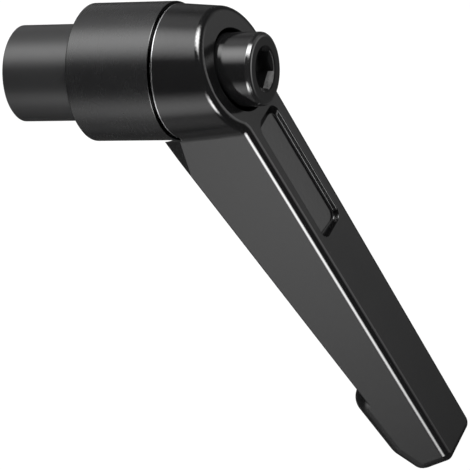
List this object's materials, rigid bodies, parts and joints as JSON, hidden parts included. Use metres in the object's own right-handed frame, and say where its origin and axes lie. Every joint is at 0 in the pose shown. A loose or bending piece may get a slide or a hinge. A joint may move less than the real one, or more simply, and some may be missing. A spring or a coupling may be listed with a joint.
{
  "type": "adjustable clamping lever",
  "caption": "Adjustable clamping lever: a cast arm with a round hub that lifts off a serrated steel insert and turns to a new position, for tightening a threaded stud by hand.",
  "frame": {"origin": "centre of the insert's lower face, on the clamping axis", "axes": "+Z along the clamping axis from the insert's thread mouth to the screw's head, +X along the arm towards its tip, +Y across the arm"},
  "size_m": [0.1195, 0.03, 0.0788],
  "materials": {
    "powder_coat": "black powder coat, satin, on a zinc die casting",
    "black_oxide_steel": "turned steel, black oxide, satin",
    "black_oxide_screw": "black oxide, oiled, semi-gloss",
    "spring_wire": "drawn spring steel wire"
  },
  "bodies": {
    "insert": {"insert": "black_oxide_steel", "retaining_screw": "black_oxide_screw"},
    "spring": {"spring": "spring_wire"},
    "handle": {"handle": "powder_coat"}
  },
  "joints": [
    {"name": "index", "type": "hinge", "parent": "insert", "child": "spring", "pos_m": [0, 0, 0.04], "axis": [0, 0, 1], "continuous": true},
    {"name": "lift", "type": "slide", "parent": "spring", "child": "handle", "axis": [0, 0, 1], "range_m": [0, 0.003], "stiffness_N_per_m": 3000, "springref_m": -0.005, "deforming": ["spring"]}
  ]
}
